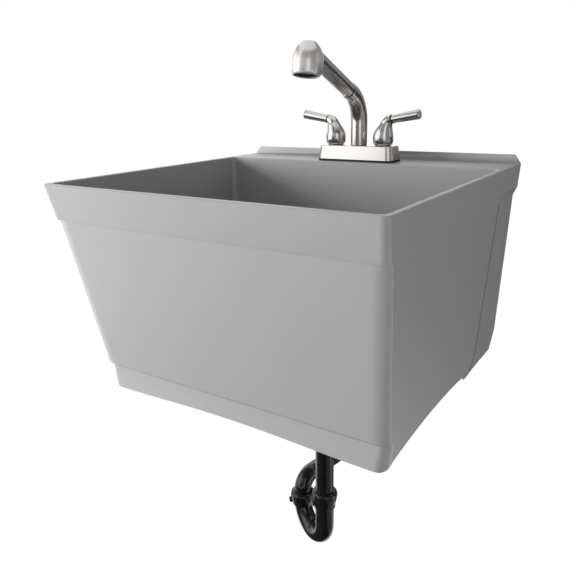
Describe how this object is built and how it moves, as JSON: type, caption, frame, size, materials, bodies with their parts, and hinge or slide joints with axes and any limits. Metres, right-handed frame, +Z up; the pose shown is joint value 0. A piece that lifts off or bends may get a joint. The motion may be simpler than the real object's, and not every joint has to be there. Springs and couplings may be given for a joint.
{
  "type": "utility laundry sink",
  "caption": "Wall-hung moulded laundry tub with a rear deck, a centreset faucet with lever handles and a pull-out spray, a basket strainer and a tubular drain trap.",
  "frame": {"origin": "centre of the wall bracket's rear face, on the wall plane", "axes": "+Y into the wall, out of the bracket's rear face; +Z up; +X to the right seen from the front"},
  "size_m": [0.5828, 0.6166, 1.0354],
  "materials": {
    "tub_plastic": "satin moulded polypropylene",
    "brushed_nickel": "brushed nickel plate",
    "polished_steel": "polished stainless steel",
    "zinc_steel": "zinc plated steel",
    "brass": "machined brass",
    "gloss_black": "glossy black drain plastic",
    "matt_black": "matt black plastic",
    "rubber": "black rubber",
    "white_plastic": "natural nylon"
  },
  "bodies": {
    "fixture": {"tub": "tub_plastic", "wall_bracket": "zinc_steel", "bracket_screw_1": "zinc_steel", "bracket_screw_2": "zinc_steel", "bracket_screw_3": "zinc_steel", "bracket_screw_4": "zinc_steel", "drain_flange": "polished_steel", "drain_gasket": "rubber", "drain_locknut": "matt_black", "drain_coupling_nut": "gloss_black", "tailpiece_washer": "rubber", "tailpiece": "gloss_black", "trap_inlet_nut": "gloss_black", "trap_inlet_washer": "rubber", "trap_outlet_nut": "gloss_black", "trap_outlet_washer": "rubber", "trap_j_bend": "gloss_black", "trap_wall_bend": "gloss_black", "faucet_base_pad": "rubber", "faucet_base_plate": "brushed_nickel", "hot_valve_body": "brass", "cold_valve_body": "brass", "spout_swivel_shank": "brass", "hot_shank_washer": "zinc_steel", "cold_shank_washer": "zinc_steel", "spout_shank_washer": "zinc_steel", "hot_shank_nut": "white_plastic", "cold_shank_nut": "white_plastic", "spout_shank_nut": "white_plastic", "spout_swivel_bush": "white_plastic"},
    "spout_arm": {"spout": "brushed_nickel"},
    "spray": {"spray_wand": "brushed_nickel", "spray_hose_spigot": "matt_black", "spray_head_shell": "brushed_nickel", "spray_nozzle_ring": "matt_black", "spray_nozzle_face": "matt_black", "spray_button_bezel": "matt_black"},
    "button": {"spray_button": "brushed_nickel"},
    "hot_handle": {"hot_handle_bell": "brushed_nickel", "hot_valve_stem": "brass", "hot_lever_collar": "matt_black", "hot_lever_sleeve": "brushed_nickel", "hot_lever_tip": "brushed_nickel"},
    "cold_handle": {"cold_handle_bell": "brushed_nickel", "cold_valve_stem": "brass", "cold_lever_collar": "matt_black", "cold_lever_sleeve": "brushed_nickel", "cold_lever_tip": "brushed_nickel"},
    "strainer": {"strainer_basket": "polished_steel", "strainer_knob": "matt_black"}
  },
  "joints": [
    {"name": "spout_swivel", "type": "hinge", "parent": "fixture", "child": "spout_arm", "pos_m": [0, -0.067, 0.0914], "axis": [0, 0, 1], "range_deg": [-90, 90]},
    {"name": "wand_pull", "type": "slide", "parent": "spout_arm", "child": "spray", "axis": [0, -0.9184, 0.3955], "range_m": [0, 0.034]},
    {"name": "button_press", "type": "slide", "parent": "spray", "child": "button", "axis": [0, -0.1994, -0.9799], "range_m": [0, 0.0025], "stiffness_N_per_m": 600, "springref_m": -0.001},
    {"name": "hot_handle_turn", "type": "hinge", "parent": "fixture", "child": "hot_handle", "pos_m": [-0.0508, -0.067, 0.0914], "axis": [0, 0, 1], "range_deg": [0, 90]},
    {"name": "cold_handle_turn", "type": "hinge", "parent": "fixture", "child": "cold_handle", "pos_m": [0.0508, -0.067, 0.0914], "axis": [0, 0, 1], "range_deg": [-90, 0]},
    {"name": "strainer_lift", "type": "slide", "parent": "fixture", "child": "strainer", "axis": [0, 0, 1], "range_m": [0, 0.06]}
  ]
}
